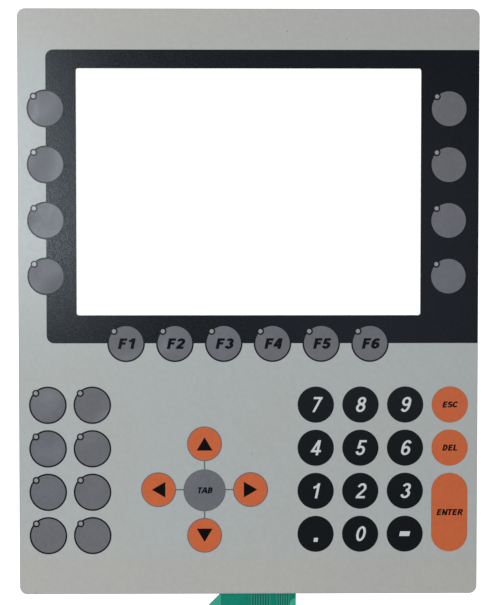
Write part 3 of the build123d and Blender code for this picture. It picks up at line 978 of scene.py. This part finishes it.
def stud_places():
    """Where the record's stud patterns put the studs, in millimetres."""
    places = []
    for mount in frame["record"]["mounts"]:
        if mount["kind"] == "bolt_pattern":
            half_x = mount["dims"].get("spacing_x_mm", 0) / 2
            half_z = mount["dims"]["spacing_y_mm"] / 2
            places += [(x, z) for x in sorted({-half_x, half_x}) for z in (-half_z, half_z)]
    return places


def stud_rings():
    """Depth of each ring of a stud from front to rear, with its radius at each point round it."""
    def even(radius):
        return [radius] * STUD_SIDES

    rings = [(y, even(STUD_HEAD_RADIUS)) for y in (STUD_HEAD_FRONT, STUD_HEAD_REAR)]
    rings += [(y, even(STUD_COLLAR_RADIUS)) for y in (STUD_HEAD_REAR, 0)]
    rings.append((0, even(THREAD_ROOT)))
    thread_end = STUD_LENGTH - STUD_CHAMFER
    rows = round((thread_end - THREAD_RUN_OUT) / THREAD_PITCH * THREAD_STEPS)
    for row in range(rows + 1):
        y = THREAD_RUN_OUT + row * THREAD_PITCH / THREAD_STEPS
        radii = []
        for side in range(STUD_SIDES):
            turn = y / THREAD_PITCH - side / STUD_SIDES
            height = 0.5 + 0.5 * math.cos(2 * math.pi * turn)
            radii.append(THREAD_ROOT + (STUD_RADIUS - THREAD_ROOT) * height)
        rings.append((y, radii))
    rings.append((STUD_LENGTH, even(STUD_RADIUS - STUD_CHAMFER)))
    return rings


def build_studs():
    """The ten clinch studs with their threads."""
    shell = Shell()
    rings = stud_rings()
    turns = [2 * math.pi * side / STUD_SIDES for side in range(STUD_SIDES)]
    for x, z in stud_places():
        points, faces = [], []
        for y, radii in rings:
            for radius, turn in zip(radii, turns):
                point = (x + radius * math.cos(turn), y, z + radius * math.sin(turn))
                points.append(tuple(c * MM for c in point))
        for ring in range(len(rings) - 1):
            for side in range(STUD_SIDES):
                a, b = ring * STUD_SIDES + side, ring * STUD_SIDES + (side + 1) % STUD_SIDES
                faces.append((a, a + STUD_SIDES, b + STUD_SIDES, b))
        faces.append(list(range(STUD_SIDES)))
        faces.append(list(range(len(points) - 1, len(points) - 1 - STUD_SIDES, -1)))
        shell.add(points, faces, ["stud_steel"] * len(faces))
    piece = shell.make("threaded_studs")
    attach(piece, "panel")
    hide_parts("mounting_studs")


# ---------------------------------------------------------------- stage, light and camera

def add_light(name, place, target, width, height, power, colour=(1, 1, 1), lean=0.0):
    """A soft rectangular light that isn't seen itself. Its top leans to the left by lean degrees."""
    light = bpy.data.lights.new(name, "AREA")
    light.shape = "RECTANGLE"
    light.size, light.size_y = width, height
    light.energy = power
    light.color = colour
    lamp = bpy.data.objects.new(name, light)
    lamp.location = place
    facing = (Vector(target) - Vector(place)).to_track_quat("-Z", "Y")
    lamp.rotation_euler = (facing @ Quaternion((0, 0, 1), math.radians(lean))).to_euler()
    lamp.visible_camera = False
    bpy.context.scene.collection.objects.link(lamp)


def build_world():
    """White behind the panel, and a weaker even light from all round."""
    world = bpy.data.worlds.new("studio")
    bpy.context.scene.world = world
    world.use_nodes = True
    nodes, links = world.node_tree.nodes, world.node_tree.links
    seen = nodes["Background"]
    seen.inputs["Color"].default_value = (1, 1, 1, 1)
    seen.inputs["Strength"].default_value = WHITE_SEEN
    lit = nodes.new("ShaderNodeBackground")
    lit.inputs["Color"].default_value = (1, 1, 1, 1)
    lit.inputs["Strength"].default_value = EVEN_LIGHT
    path = nodes.new("ShaderNodeLightPath")
    mix = nodes.new("ShaderNodeMixShader")
    links.new(path.outputs["Is Camera Ray"], mix.inputs["Fac"])
    links.new(lit.outputs["Background"], mix.inputs[1])
    links.new(seen.outputs["Background"], mix.inputs[2])
    links.new(mix.outputs["Shader"], nodes["World Output"].inputs["Surface"])


def build_floor():
    """A pale round floor, just below the end of the tail."""
    mesh = bpy.data.meshes.new("floor")
    height = cad_low.z - FLOOR_GAP
    corners = [(x, y, height) for x, y in circle(0, 0, FLOOR_RADIUS, FLOOR_SIDES)]
    mesh.from_pydata(corners, [], [range(FLOOR_SIDES)])
    mesh.materials.append(MATERIALS["floor_pale"])
    floor = bpy.data.objects.new("floor", mesh)
    bpy.context.scene.collection.objects.link(floor)


def build_camera():
    """The main view: nearly straight on, from a little above the middle."""
    camera = bpy.data.cameras.new("camera")
    camera.lens = LENS
    camera.sensor_width = SENSOR_WIDTH
    eye = bpy.data.objects.new("camera", camera)
    eye.location = EYE
    eye.rotation_euler = (AIM - eye.location).to_track_quat("-Z", "Y").to_euler()
    bpy.context.scene.collection.objects.link(eye)
    bpy.context.scene.camera = eye


def build_lights():
    """A key light from the upper left, two weak cool ones for the front's sheen, and two for the rear."""
    add_light("key_light", (-1.0, -1.3, 0.8), (0, 0, -0.02), 0.9, 0.9, power=18.4)
    add_light("sheen_light", (-0.30, -1.11, 0.13), (-0.1, 0, 0.05), 0.08, 0.35,
              power=1.92, colour=(0.81, 0.92, 1.0), lean=16)
    add_light("window_light", (0.19, -1.11, 0.0), (0.085, 0, 0.02), 0.3, 0.36,
              power=0.23, colour=(0.72, 0.79, 1.0))
    add_light("rear_light", (0.9, 1.5, 0.4), (0, 0, -0.02), 1.2, 1.2, power=11)
    add_light("rear_fill", (-1.1, 1.5, 0.15), (0, 0, 0), 1.2, 1.0, power=6)


build_camera()
build_world()
build_floor()
build_lights()
bpy.context.scene.view_settings.view_transform = "Standard"

build_overlay()
build_function_keys()
build_black_keys()
build_orange_keys()
build_tab_key()
build_domes()
build_circuit_tail()
build_studs()
